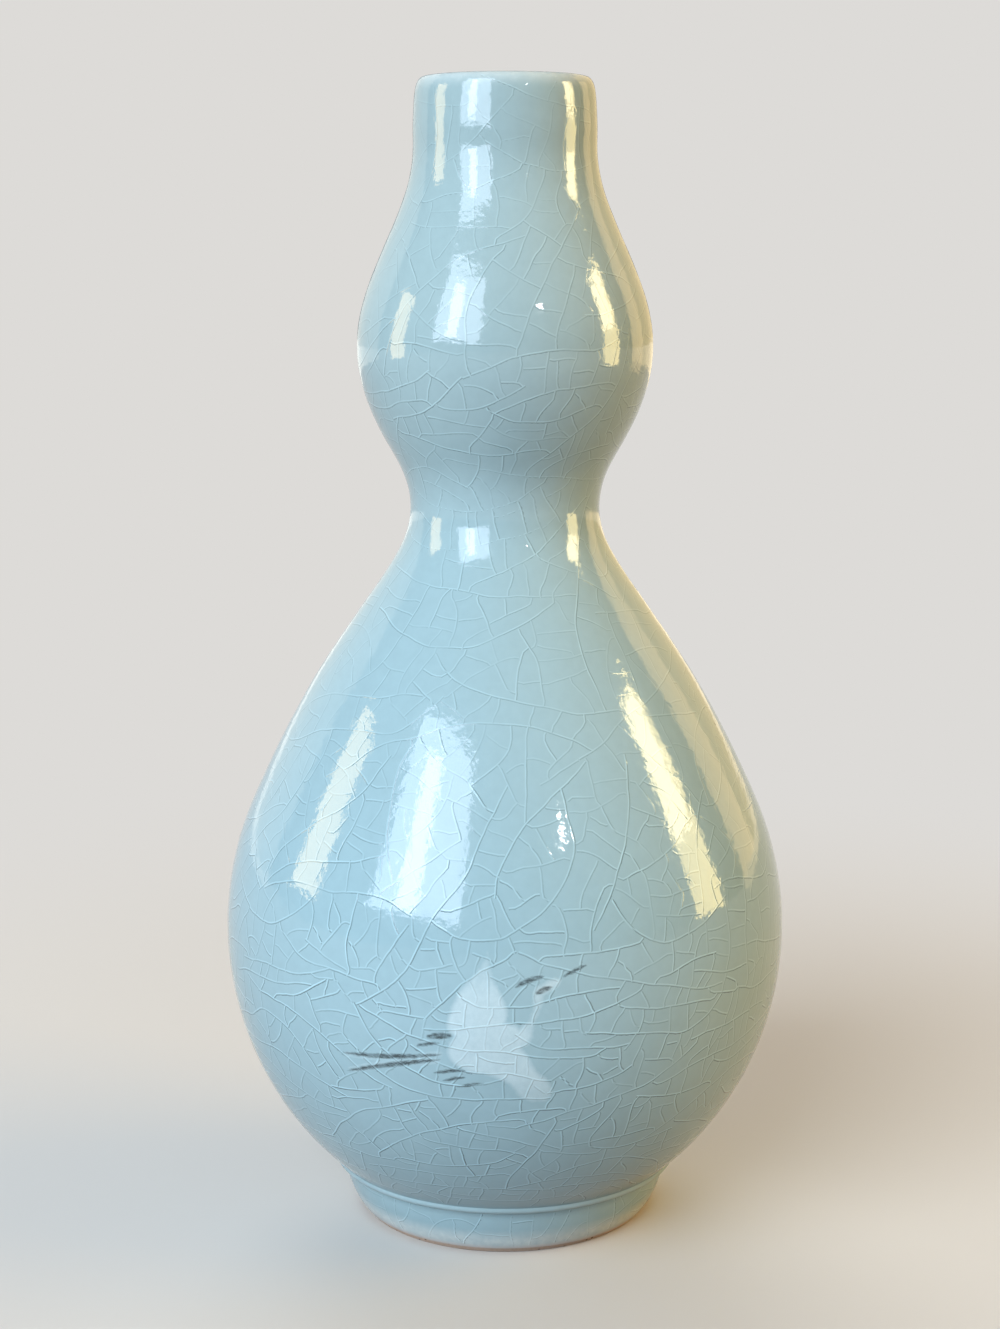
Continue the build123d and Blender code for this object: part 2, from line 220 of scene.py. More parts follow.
def smooth_line(points, step):
    """Natural cubic spline through points, sampled at steps along it."""
    knots = np.array(points, float)
    gaps = np.hypot(*np.diff(knots, axis=0).T)
    places = np.concatenate([[0], np.cumsum(gaps)])
    count = len(knots)
    slopes = np.diff(knots, axis=0) / gaps[:, None]
    matrix, pull = np.zeros((count, count)), np.zeros((count, 2))
    matrix[0, 0] = matrix[-1, -1] = 1
    for i in range(1, count - 1):
        matrix[i, i - 1 : i + 2] = gaps[i - 1], 2 * (gaps[i - 1] + gaps[i]), gaps[i]
        pull[i] = 6 * (slopes[i] - slopes[i - 1])
    bend = np.linalg.solve(matrix, pull)
    at = np.linspace(0, places[-1], max(2, int(places[-1] / step) + 1))
    k = np.clip(np.searchsorted(places, at, side="right") - 1, 0, count - 2)
    after, before, gap = (places[k + 1] - at)[:, None], (at - places[k])[:, None], gaps[k][:, None]
    return (
        (bend[k] * after**3 + bend[k + 1] * before**3) / (6 * gap)
        + (knots[k] / gap - bend[k] * gap / 6) * after
        + (knots[k + 1] / gap - bend[k + 1] * gap / 6) * before
    )


def measured(line):
    """A line with the places along it and the way that its face looks."""
    along = np.concatenate([[0], np.cumsum(np.hypot(*np.diff(line, axis=0).T))])
    slope = np.gradient(line, along, axis=0)
    facing = np.stack([slope[:, 1], -slope[:, 0]], axis=1)
    return line, along, facing / np.hypot(*facing.T)[:, None]


outline_step = 0.1
body_line = smooth_line(body_outline, outline_step)
foot_line, ledge_line = smooth_line(foot_outline, outline_step), smooth_line(ledge_outline, outline_step)
outside = measured(np.concatenate([foot_line[:-1], ledge_line, body_line]))
outline, along, facing = outside
body_start = along[len(outline) - len(body_line)]
crest = along[-1]
# Millimetres: how deep the fingers' rings are, how far the body sways out of round between the foot
# and the lip, and the depth and width of the glaze's large and small waves
ring_depth, sway_reach = 0.008, 0.07
large_wave, small_wave = (0.022, 9.0), (0.006, 2.6)


def hand_made(azimuth, radius, height):
    """Millimetres by which the hand-turned, fluid-fired surface strays from its outline."""
    x, y = radius * np.sin(azimuth), radius * np.cos(azimuth)
    rings = ring_depth * np.sin(height + 1.3 * np.sin(azimuth + height / 23))
    between = np.minimum(1, height / 40) * np.minimum(1, (185 - height) / 12)
    sway = between * np.sin(2 * azimuth + height / 31)
    spots, uneven = [Vector(spot) for spot in zip(x, y, height)], np.zeros(len(height))
    for depth, width in (large_wave, small_wave):
        uneven += [depth * noise.noise(spot / width) for spot in spots]
    return rings * np.clip((height - 12) / 8, 0, 1) + sway_reach * sway + uneven


def on_glaze(azimuth, place, lift=0.0, face=outside):
    """Points of the glaze's face, or ones lifted from it, at places along the outline."""
    line, along, facing = face
    radius, height, out, up = (np.interp(place, along, values) for values in (*line.T, *facing.T))
    lift = lift + hand_made(azimuth, radius, height)
    reach = radius + out * lift
    return np.stack([reach * np.sin(azimuth), -reach * np.cos(azimuth), height + up * lift], axis=1)


def glaze_axes(azimuth, place, face=outside):
    """Unit directions round the vase, along the outline, and out of the glaze's face."""
    here, small = on_glaze(azimuth, place, 0.0, face), 0.05
    radius = np.maximum(np.hypot(here[:, 0], here[:, 1]), 0.1)
    across = on_glaze(azimuth + small / radius, place, 0.0, face) - here
    ends = np.clip([place - small, place + small], 0, face[1][-1])
    up = on_glaze(azimuth, ends[1], 0.0, face) - on_glaze(azimuth, ends[0], 0.0, face)
    out = np.cross(across, up)
    return [axis / np.linalg.norm(axis, axis=1)[:, None] for axis in (across, up, out)]


# Outer glaze. The celadon was poured and dipped over the bisque-fired clay and melted to a glass
# skin 0.4 mm thick. It runs thin over the lip, the ledge and the foot's edge.
def fade(values, start, end):
    """Smooth steps from 0 at start to 1 at end."""
    share = np.clip((values - start) / (end - start), 0, 1)
    return share * share * (3 - 2 * share)


def give(piece, **values):
    """Stores numbers at a piece's vertices, for its material to read."""
    for attribute, numbers in values.items():
        piece.data.attributes.new(attribute, "FLOAT", "POINT").data.foreach_set("value", numbers)


def turned(name, face, rows, sides, thin, bare, middle=None):
    """A closed skin turned round the axis from rows of (place, lift), thin and bare in shares.

    One that crosses the axis gives its last row before it, and its heights there, above and below.
    """
    azimuth = np.tile(np.arange(sides) * 2 * math.pi / sides, len(rows))
    place, lift = np.repeat(np.array(rows, float), sides, axis=0).T
    points = on_glaze(azimuth, place, lift, face)
    normals = glaze_axes(azimuth, place, face)[2] * np.where(lift < 0, -1, 1)[:, None]
    thin, bare = np.repeat(thin, sides), np.repeat(bare, sides)
    faces = []
    for row in range(len(rows)):
        low, high = row * sides, (row + 1) % len(rows) * sides
        ring = [(k, (k + 1) % sides) for k in range(sides)]
        if middle and row == middle[0]:
            top, back = len(points), len(points) + 1
            faces += [(low + a, low + b, top) for a, b in ring]
            faces += [(back, high + b, high + a) for a, b in ring]
        else:
            faces += [(low + a, low + b, high + b, high + a) for a, b in ring]
    if middle:
        points = np.vstack([points, [[0, 0, middle[1]], [0, 0, middle[2]]]])
        normals = np.vstack([normals, [[0, 0, 1], [0, 0, -1]]])
        thin, bare = np.append(thin, [0, 0]), np.append(bare, [0, 0])
    piece = new_piece(name, points, faces, normals)
    give(piece, thin=thin, bare=bare)
    return piece


def thinness(place):
    """How thin the glaze lies: over the lip's crest, over the ledge, and towards the foot's edge."""
    height = np.interp(place, along, outline[:, 1])
    lip = fade(place, crest - 3.2, crest - 0.4)
    ledge = fade(abs(place - body_start + 0.9), 1.2, 0.2)
    foot = fade(height, 5.2, 2.2)
    return max(0.85 * lip, 0.15 * ledge, foot if height < 6 else 0)


def bareness(place):
    """How far the clay's own colour comes through, close to the foot's edge."""
    return fade(np.interp(place, along, outline[:, 1]), 1.9, 0.9)


def celadon(name, under=None):
    """Glossy celadon glass, which looks pale blue-green, clouded, and whitish where it lies thin."""
    material, tree = new_material(name)
    place = add_node(tree, "ShaderNodeTexCoord").outputs["Object"]
    # Clouds of colour about 26 mm wide, and a mottle of 1.6 mm from bubbles in the glass
    cloud = add_node(tree, "ShaderNodeTexNoise", [(place, "Vector")], Scale=1 / 0.026, Detail=2.0)
    mottle = add_node(tree, "ShaderNodeTexNoise", [(place, "Vector")], Scale=1 / 0.0016, Detail=3.0)
    # The melt ran down, so it is bluer on the belly and greyer green above the waist
    height = add_node(tree, "ShaderNodeSeparateXYZ", [(place, "Vector")]).outputs["Z"]
    drained = add_node(tree, "ShaderNodeMapRange", [(height, "Value")], From_Min=0.065, From_Max=0.150)
    pair = []
    for low_tone, high_tone in (("#9FBFC9", "#A2BBBF"), ("#A7C7D1", "#AAC3C7")):
        shade = add_node(tree, "ShaderNodeMix", [(drained.outputs[0], 0)], data_type="RGBA")
        shade.inputs[6].default_value = linear(low_tone)
        shade.inputs[7].default_value = linear(high_tone)
        pair.append(shade.outputs[2])
    tone = add_node(
        tree, "ShaderNodeMix", [(cloud.outputs["Fac"], 0), (pair[0], 6), (pair[1], 7)], data_type="RGBA"
    )
    fleck = add_node(
        tree, "ShaderNodeMapRange", [(mottle.outputs["Fac"], "Value")], To_Min=0.95, To_Max=1.05
    )
    # The foot below the ledge is drawn up to a seventh darker, fading out over the ledge
    darker_foot = add_node(
        tree,
        "ShaderNodeMapRange",
        [(height, "Value")],
        From_Min=0.0085,
        From_Max=0.012,
        To_Min=0.86,
        To_Max=1.0,
    )
    strength = add_node(
        tree, "ShaderNodeMath", [(fleck.outputs[0], 0), (darker_foot.outputs[0], 1)], operation="MULTIPLY"
    )
    depth = add_node(
        tree,
        "ShaderNodeMix",
        [(tone.outputs[2], 6), (strength.outputs[0], 7)],
        data_type="RGBA",
        blend_type="MULTIPLY",
    )
    depth.inputs[0].default_value = 1.0
    colour = depth.outputs[2]
    # Iron specks up to half a millimetre across, melted into the glass a centimetre or two apart
    specks = add_node(tree, "ShaderNodeTexVoronoi", [(place, "Vector")], Scale=1 / 0.016)
    speck = add_node(
        tree,
        "ShaderNodeMapRange",
        [(specks.outputs["Distance"], "Value")],
        From_Min=0.010,
        From_Max=0.024,
        To_Min=0.75,
        To_Max=0.0,
    )
    iron = add_node(tree, "ShaderNodeMix", [(speck.outputs[0], 0), (colour, 6)], data_type="RGBA")
    iron.inputs[7].default_value = linear("#4F6468")
    colour = iron.outputs[2]
    # Where it lies thin the pale clay shows through, with a ragged border of about a millimetre
    edge = add_node(tree, "ShaderNodeTexNoise", [(place, "Vector")], Scale=1 / 0.0011, Detail=2.0)
    ragged = add_node(tree, "ShaderNodeMath", [(edge.outputs["Fac"], 0)], operation="ADD")
    ragged.inputs[1].default_value = 0.5
    for attribute, shown, most in (("thin", "#DAE4E3", 0.75), ("bare", "#D5CDC8", 0.95)):
        amount = add_node(tree, "ShaderNodeAttribute", attribute_name=attribute).outputs["Fac"]
        uneven = add_node(
            tree, "ShaderNodeMath", [(amount, 0), (ragged.outputs[0], 1)], operation="MULTIPLY"
        )
        share = add_node(
            tree, "ShaderNodeMath", [(uneven.outputs[0], 0)], operation="MULTIPLY", use_clamp=True
        )
        share.inputs[1].default_value = most
        mixed = add_node(tree, "ShaderNodeMix", [(share.outputs[0], 0), (colour, 6)], data_type="RGBA")
        mixed.inputs[7].default_value = linear(shown)
        colour = mixed.outputs[2]
    if under:
        colour = under(tree, colour, place)
    # Ripples 1.4 mm wide and a few hundredths of a millimetre deep roughen what the glass mirrors
    ripple = add_node(tree, "ShaderNodeTexNoise", [(place, "Vector")], Scale=1 / 0.0014, Detail=2.0)
    skin = add_node(
        tree, "ShaderNodeBump", [(ripple.outputs["Fac"], "Height")], Strength=0.5, Distance=0.00007
    )
    surface = add_node(
        tree,
        "ShaderNodeBsdfPrincipled",
        [(colour, "Base Color"), (skin.outputs[0], "Normal")],
        Roughness=0.07,
        IOR=1.55,
    )
    add_node(tree, "ShaderNodeOutputMaterial", [(surface.outputs[0], "Surface")])
    return material


glaze_depth = 0.38
# Its rows stand close together round the foot, the ledge and the lip
close_step, wide_step, glaze_sides = 0.2, 0.8, 300
glaze_places = [0.0]
while glaze_places[-1] < crest:
    now = glaze_places[-1]
    close = now < body_start + 2 or now > crest - 6
    glaze_places.append(now + (close_step if close else wide_step))
glaze_places = [p for p in glaze_places if p < crest - 0.1] + [crest]
back_places = [p for p in glaze_places[::-3] if 0.3 < p < crest - 0.1]
outer_glaze = turned(
    "outer_glaze_skin",
    outside,
    [(p, 0) for p in glaze_places] + [(p, -glaze_depth) for p in back_places],
    glaze_sides,
    [thinness(p) for p in glaze_places] + [0] * len(back_places),
    [bareness(p) for p in glaze_places] + [0] * len(back_places),
)
outer_glaze.data.materials.append(celadon("celadon_glaze"))
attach(outer_glaze, "root")
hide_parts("outer_glaze")

# Crane. The potter carved a flying crane into the leather-hard clay, filled the lines with white and
# black slip and scraped them flush, so it shows through the glaze with soft, dry-brushed edges.
# Each piece's outline is in shares of the crane's length, to the right of and above its middle.
crane_length, crane_height = 36.4, 42.0
white_shares = {
    "crane_body": [
        (-0.233, -0.035), (-0.130, -0.112), (-0.020, -0.098), (0.072, 0.012), (0.062, 0.085),
        (-0.060, 0.120), (-0.190, 0.075),
    ],
    "crane_raised_wing": [
        (-0.236, 0.080), (-0.222, 0.165), (-0.182, 0.250), (-0.120, 0.330), (-0.088, 0.390),
        (-0.068, 0.436), (-0.060, 0.380), (-0.038, 0.280), (0.008, 0.135), (-0.060, 0.050),
    ],
    "crane_lower_wing": [
        (-0.110, -0.100), (0.000, -0.150), (0.060, -0.225), (0.125, -0.248), (0.184, -0.232),
        (0.186, -0.168), (0.125, -0.095), (0.060, 0.000),
    ],
    "crane_neck": [
        (0.030, 0.060), (0.072, 0.010), (0.118, 0.085), (0.140, 0.160), (0.150, 0.232),
        (0.122, 0.236), (0.104, 0.160), (0.074, 0.105),
    ],
    "crane_head": [
        (0.112, 0.228), (0.150, 0.228), (0.196, 0.252), (0.226, 0.288), (0.206, 0.296),
        (0.158, 0.278), (0.122, 0.256),
    ],
}
# Strokes of black slip: start, end, width and how far the stroke bows to its left
black_strokes = {
    "crane_eye_band": [((0.118, 0.234), (0.192, 0.263), 0.029, 0.002)],
    "crane_beak": [((0.230, 0.299), (0.332, 0.344), 0.023, 0.001)],
    "crane_crown": [((0.036, 0.261), (0.158, 0.307), 0.029, 0.008)],
    "crane_legs": [
        ((-0.690, -0.092), (-0.248, -0.032), 0.029, -0.004),
        ((-0.668, -0.178), (-0.252, -0.056), 0.029, 0.014),
    ],
    "crane_tail_quills": [
        ((-0.326, 0.040), (-0.212, 0.052), 0.036, 0.002),
        ((-0.368, -0.006), (-0.266, 0.018), 0.023, 0.002),
    ],
    "crane_wing_quills": [
        ((-0.302, -0.124), (-0.156, -0.100), 0.024, 0.004),
        ((-0.262, -0.156), (-0.160, -0.132), 0.021, 0.002),
        ((-0.204, -0.184), (-0.086, -0.156), 0.019, 0.003),
    ],
}
# Between the legs the potter left a faint wash of white slip
wash_shares = [
    (-0.680, -0.110), (-0.470, -0.072), (-0.252, -0.036), (-0.256, -0.058), (-0.460, -0.100),
    (-0.660, -0.160),
]


def crane_spot(share):
    """Place on the front of the vase, in millimetres to the right and up, for a share."""
    return np.array([share[0] * crane_length, crane_height + share[1] * crane_length])


def slip_patch(shares):
    """Closed smooth outline of a patch of white slip."""
    knots = [crane_spot(share) for share in shares]
    loop = np.array(knots[-3:] + knots + knots[:4])
    gaps = np.hypot(*np.diff(loop, axis=0).T)
    line = smooth_line(loop, 0.15)
    at = np.linspace(0, gaps.sum(), len(line))
    return line[(at >= gaps[:3].sum()) & (at < gaps[:-3].sum())]


def slip_stroke(start, end, width, bow):
    """Outline of a stroke of black slip, rounded at both ends."""
    start, run = crane_spot(start), crane_spot(end) - crane_spot(start)
    aside = np.array([-run[1], run[0]]) / np.hypot(*run) * crane_length
    share = np.linspace(0, 1, 24)[:, None]
    bulge = 4 * share * (1 - share) * aside
    swell = np.sqrt(4 * share * (1 - share)) * aside * width / 2
    spine = start + run * share + bulge * bow
    over, under = spine + swell, spine - swell
    return np.concatenate([over, under[-2:0:-1]])


def depth_inside(spots, edge):
    """How deep spots lie inside a closed outline, in millimetres, below zero outside it."""
    run = np.roll(edge, -1, axis=0) - edge
    offset = spots[:, None] - edge
    share = np.clip((offset * run).sum(2) / (run**2).sum(1), 0, 1)
    gap = np.hypot(*np.moveaxis(offset - share[..., None] * run, 2, 0)).min(1)
    above = edge[:, 1] > spots[:, None, 1]
    crossed = (above != np.roll(above, -1, axis=1)) & (
        offset[..., 0] < run[:, 0] * offset[..., 1] / np.where(run[:, 1] == 0, 1e-9, run[:, 1])
    )
    return np.where(crossed.sum(1) % 2, gap, -gap)


white_edges = {name: slip_patch(shares) for name, shares in white_shares.items()}
black_edges = {
    name: [slip_stroke(*stroke) for stroke in strokes] for name, strokes in black_strokes.items()
}
wash_edge = slip_patch(wash_shares)


def slip_cover(spots):
    """How much white and how much black slip lies under the glaze at spots."""
    right, up = ((spots - crane_spot((0, 0))) / crane_length).T
    white = np.max([depth_inside(spots, edge) for edge in white_edges.values()], axis=0)
    # It fades in from 0.4 mm outside its outline to 0.55 mm inside it
    white = np.clip((white + 0.40) / 0.95, 0, 1)
    # It thins out towards the raised wing's top and the lower wing's tip, and along the neck
    raised_wing_top = 0.45 * fade(up, 0.22, 0.34) + 0.25 * fade(up, 0.34, 0.40)
    white *= 1 - raised_wing_top * (right < 0.03)
    white *= 1 - 0.25 * fade(-up, 0.12, 0.22)
    white *= 1 - 0.40 * fade(right, 0.07, 0.11) * fade(up, 0.05, 0.10) * fade(-up, -0.24, -0.20)
    white = np.maximum(white, 0.40 * fade(depth_inside(spots, wash_edge), -0.3, 0.4))
    strokes = [edge for edges in black_edges.values() for edge in edges]
    black = np.max([depth_inside(spots, edge) for edge in strokes], axis=0)
    # The black is sharper: from 0.2 mm outside to 0.3 mm inside
    return white, np.clip((black + 0.20) / 0.5, 0, 1)


def slip_tones(tree, colour, place):
    """White slip that shows pale through the glaze, and dry-brushed black slip over it."""
    # The white slip's edge crumbled away in bits of up to a millimetre, and lets the clay show there
    crumb = add_node(
        tree, "ShaderNodeTexNoise", [(place, "Vector")], Scale=1 / 0.0009, Detail=4.0, Roughness=0.7
    )
    white = add_node(tree, "ShaderNodeAttribute", attribute_name="white").outputs["Fac"]
    rough = add_node(
        tree, "ShaderNodeMath", [(crumb.outputs["Fac"], 0), (white, 2)], operation="MULTIPLY_ADD"
    )
    rough.inputs[1].default_value = 0.8
    cover = add_node(
        tree,
        "ShaderNodeMapRange",
        [(rough.outputs[0], "Value")],
        From_Min=0.60,
        From_Max=1.50,
        To_Min=0.0,
        To_Max=0.64,
    )
    pale = add_node(tree, "ShaderNodeMix", [(cover.outputs[0], 0), (colour, 6)], data_type="RGBA")
    pale.inputs[7].default_value = linear("#DCEFF5")
    # The bristles dragged dry streaks of a tenth of a millimetre, drawn coarser, along the strokes
    drawn = add_node(tree, "ShaderNodeMapping", [(place, "Vector")], Scale=(0.4, 0.4, 1.0))
    streak = add_node(
        tree,
        "ShaderNodeTexNoise",
        [(drawn.outputs[0], "Vector")],
        Scale=1 / 0.0004,
        Detail=4.0,
        Roughness=0.7,
    )
    black = add_node(tree, "ShaderNodeAttribute", attribute_name="black").outputs["Fac"]
    dry = add_node(
        tree, "ShaderNodeMath", [(streak.outputs["Fac"], 0), (black, 2)], operation="MULTIPLY_ADD"
    )
    dry.inputs[1].default_value = 1.5
    ink = add_node(
        tree,
        "ShaderNodeMapRange",
        [(dry.outputs[0], "Value")],
        From_Min=1.16,
        From_Max=1.92,
        To_Min=0.0,
        To_Max=0.92,
    )
    dark = add_node(tree, "ShaderNodeMix", [(ink.outputs[0], 0), (pale.outputs[2], 6)], data_type="RGBA")
    dark.inputs[7].default_value = linear("#2B383C")
    return dark.outputs[2]


def glaze_place(height):
    """Place along the outline of a height on the belly."""
    belly = (along > body_start) & (outline[:, 1] < 70)
    return np.interp(height, outline[belly, 1], along[belly])


# Millimetres: how far a piece of slip reaches past its outline and laps over the crane's body, and
# how deep its rim and its back lie below the glaze's face
slip_reach, slip_lap, slip_rim, slip_back = 0.62, 0.5, 0.03, 0.2
# A grid keeps how high the slip stands over the glaze's face, since the crackle rides over it
slip_step = 0.25
slip_low, slip_high = crane_spot((-0.75, -0.30)), crane_spot((0.38, 0.48))
slip_columns = int((slip_high[0] - slip_low[0]) / slip_step) + 2
slip_rows = int((slip_high[1] - slip_low[1]) / slip_step) + 2
slip_rise = np.zeros((slip_rows, slip_columns))


def lay_slip(name, edges, step, rise, slot, body=None):
    """A closed skin a fifth of a millimetre thick, which shows a piece of slip through the glaze."""
    spots_used, lifts_used, faces = [], [], []
    for edge in edges:
        start, end = edge.min(0) - 0.9, edge.max(0) + 0.9
        columns, rows = (np.ceil((end - start) / step) + 1).astype(int)
        across, up = np.meshgrid(start[0] + step * np.arange(columns), start[1] + step * np.arange(rows))
        spots = np.stack([across.ravel(), up.ravel()], axis=1)
        depth = depth_inside(spots, edge)
        if body is not None:
            depth = np.minimum(depth, slip_lap - depth_inside(spots, body))
        cell = (depth > -slip_reach).reshape(rows, columns)
        cell = cell[:-1, :-1] & cell[1:, :-1] & cell[:-1, 1:] & cell[1:, 1:]
        # Past its outline the skin slopes down into the glaze
        lifts = rise - (rise + slip_rim) * fade(-depth, 0.1, 0.6)
        found = {}

        def corner(k, top):
            """Index of a grid corner's point on the skin's face or on its back."""
            if (k, top) not in found:
                found[k, top] = len(spots_used)
                spots_used.append(spots[k])
                lifts_used.append(lifts[k] if top else -slip_back)
            return found[k, top]

        for row, column in zip(*np.nonzero(cell)):
            k = row * columns + column
            ring = [k, k + 1, k + 1 + columns, k + columns]
            faces.append([corner(c, True) for c in ring])
            faces.append([corner(c, False) for c in reversed(ring)])
            beside = [(row - 1, column), (row, column + 1), (row + 1, column), (row, column - 1)]
            for i, (r, c) in enumerate(beside):
                if not (0 <= r < rows - 1 and 0 <= c < columns - 1 and cell[r, c]):
                    a, b = ring[i], ring[(i + 1) % 4]
                    faces.append([corner(a, True), corner(a, False), corner(b, False), corner(b, True)])
        here = ((spots - slip_low) / slip_step).round().astype(int)
        np.maximum.at(slip_rise, (here[:, 1], here[:, 0]), lifts)
    spots, lifts = np.array(spots_used), np.array(lifts_used)
    place = glaze_place(spots[:, 1])
    azimuth = np.arcsin(spots[:, 0] / np.interp(place, along, outline[:, 0]))
    normals = glaze_axes(azimuth, place)[2] * np.where(lifts == -slip_back, -1, 1)[:, None]
    piece = new_piece(name + "_slip", on_glaze(azimuth, place, lifts), faces, normals)
    white, black = slip_cover(spots)
    give(piece, white=white, black=black)
    piece.data.materials.append(slip_materials[slot])
    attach(piece, "root")
    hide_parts(name)


slip_materials = {
    "white_slip": celadon("white_slip_under_celadon", slip_tones),
    "black_slip": celadon("black_slip_under_celadon", slip_tones),
}
# The body stands a hair over the wings and the neck, and the black strokes a hair over the white
body_rise, limb_rise, stroke_rise = 0.016, 0.012, 0.020
for name, edge in white_edges.items():
    if name == "crane_body":
        lay_slip(name, [edge], slip_step, body_rise, "white_slip")
    else:
        lay_slip(name, [edge], slip_step, limb_rise, "white_slip", white_edges["crane_body"])
stroke_step = 0.14
for name, edges in black_edges.items():
    lay_slip(name, edges, stroke_step, stroke_rise, "black_slip")

# Crackle. The glass shrank more than the clay as it cooled, so it crazed into a net of hairlines.
# Each new line ran until it met an older one. They catch the light as fine ridges, with a painted
# highlight on their lit side and painted shade on the other.
crack_chance = random.Random(41)
belly_radius = 46
crack_grid = 0.35
crack_columns = int(2 * math.pi * belly_radius / crack_grid)
crack_start, crack_end = 0.6, crest - 1.2
crack_step = 0.3
cracked = {}
table_step = 0.5
table_places = np.arange(0, crest + 1, table_step)
radius_table = np.interp(table_places, along, outline[:, 0]).tolist()
height_table = np.interp(table_places, along, outline[:, 1]).tolist()


def radius_at(place):
    """Radius at a place along the outline, from a quick table."""
    return radius_table[int(place / table_step)]


def height_at(place):
    """Height of a place along the outline, from a quick table."""
    return height_table[int(place / table_step)]


def crack_cell(azimuth, place):
    """Cell of the grid that keeps track of where the glaze has cracked."""
    return int(place / crack_grid), int(azimuth / (2 * math.pi) * crack_columns) % crack_columns


def free_run(azimuth, place, heading, reach):
    """How far a straight line runs over the glaze before it meets a crack or the glaze's end."""
    gone = 0
    across, up = crack_step * math.cos(heading), crack_step * math.sin(heading)
    while gone < reach:
        azimuth += across / radius_at(place)
        place += up
        gone += crack_step
        if not crack_start < place < crack_end or crack_cell(azimuth, place) in cracked:
            break
    return gone


# A crack wavers a little at each step. Near an older one the strain runs along that one, so the new
# one feels ahead on both sides, in millimetres and radians, and turns to meet the older one squarely.
crack_waver, feeler_reach, feeler_turn, crack_turn = 0.05, 1.5, 0.7, 0.22


def run_crack(azimuth, place, heading, reach, bend, own=None):
    """Places that a crack passes from a start, until it meets another or has run its reach.

    One that goes on from the crack with the number own doesn't stop at that one, and runs straight.
    """
    line = []
    gone = 0
    while gone < reach:
        heading += bend * crack_step + crack_chance.gauss(0, crack_waver)
        if gone > 0.6 and own is None:
            turns = (feeler_turn, -feeler_turn)
            left, right = (free_run(azimuth, place, heading + turn, feeler_reach) for turn in turns)
            heading += crack_turn * ((left < right) - (right < left))
        azimuth += crack_step * math.cos(heading) / radius_at(place)
        place += crack_step * math.sin(heading)
        gone += crack_step
        if not crack_start < place < crack_end:
            break
        line.append((azimuth, place))
        if cracked.get(crack_cell(azimuth, place), own) != own:
            break
    return line


def mark_crack(line, number):
    """Marks the grid's cells within a fifth of a millimetre of a crack with its number."""
    for a, p in line:
        row, column = crack_cell(a, p)
        spread = math.ceil(0.2 / (2 * math.pi * radius_at(p) / crack_columns))
        for k in range(-spread, spread + 1):
            cracked.setdefault((row, (column + k) % crack_columns), number)


def add_crack(azimuth, place, heading, reach, bend, strength):
    """Grows a crack both ways from a start and marks the grid."""
    ahead = run_crack(azimuth, place, heading, reach, bend)
    behind = run_crack(azimuth, place, heading + math.pi, reach, -bend)
    line = behind[::-1] + [(azimuth, place)] + ahead
    mark_crack(line, len(crack_lines))
    crack_lines.append((line, strength))


# Height up the vase and the usual width of the crackle's cells there, in millimetres
cell_heights, cell_widths = np.array([
    (6, 3.2), (12, 2.2), (45, 2.5), (70, 3.3), (95, 4.0), (118, 3.3), (132, 2.6), (148, 3.8),
    (165, 4.4), (178, 5.2),
]).T


def crack_spacing(azimuth, place):
    """Width of a cell of the crackle there: close low on each bulb, wide on the shoulder and neck."""
    height, radius = height_at(place), radius_at(place)
    spot = Vector((radius * math.sin(azimuth), radius * math.cos(azimuth), height))
    return np.interp(height, cell_heights, cell_widths) * (1 + 0.5 * noise.noise(spot / 22.0))


crack_lines = []
# The ledge over the foot stops every crack
for row in range(int((body_start - 3.0) / crack_grid), int((body_start + 0.9) / crack_grid)):
    cracked.update(((row, column), -1) for column in range(crack_columns))
# The long ones slant up to the right, and lie flatter low on each bulb, where the glaze is thick
flat_slants, steep_slants = [-8, -2, 4, 12, 58], [34, 50, 66, 84, 12, -8]
long_tries, short_tries = 2400, 38000
long_reach, long_strength, short_strength = (6, 22), (0.75, 1.0), (0.35, 0.9)
for _ in range(long_tries):
    start = (crack_chance.uniform(0, 2 * math.pi), crack_chance.uniform(crack_start + 6, crack_end - 4))
    height = height_at(start[1])
    low_down = height < 52 or 116 < height < 140
    heading = math.radians(crack_chance.choice(flat_slants if low_down else steep_slants))
    heading += crack_chance.gauss(0, 0.16)
    room = (0.9 if low_down else 1.2) * crack_spacing(*start)
    turns = [heading + turn * math.pi / 4 for turn in (1, 2, 3, -1, -2, -3)]
    if min(free_run(*start, turn, room) for turn in turns) >= room:
        bend = crack_chance.choice([-1, 1]) * crack_chance.uniform(0.0, 0.04)
        reach = crack_chance.uniform(*long_reach)
        add_crack(*start, heading, reach, bend, crack_chance.uniform(*long_strength))
# The short ones part the wide cells across their narrowest way. In cell widths: how far a start feels
# round, the room that it needs, the cell that is wide enough to part, and how far the crack runs.
feel_reach, least_room, wide_cell, short_reach = 2.2, 0.34, 1.8, 3.0
for _ in range(short_tries):
    start = (crack_chance.uniform(0, 2 * math.pi), crack_chance.uniform(crack_start, crack_end))
    spacing = crack_spacing(*start)
    if radius_at(start[1]) / belly_radius < crack_chance.random():
        continue
    turns = [math.pi * k / 8 for k in range(16)]
    runs = [free_run(*start, t, feel_reach * spacing) for t in turns]
    widths = [runs[k] + runs[k + 8] for k in range(8)]
    if min(runs) < least_room * spacing or max(widths) < wide_cell * spacing:
        continue
    heading = turns[runs.index(min(runs))] + crack_chance.gauss(0, 0.1)
    bend = crack_chance.gauss(0, 0.05)
    add_crack(*start, heading, short_reach * spacing, bend, crack_chance.uniform(*short_strength))
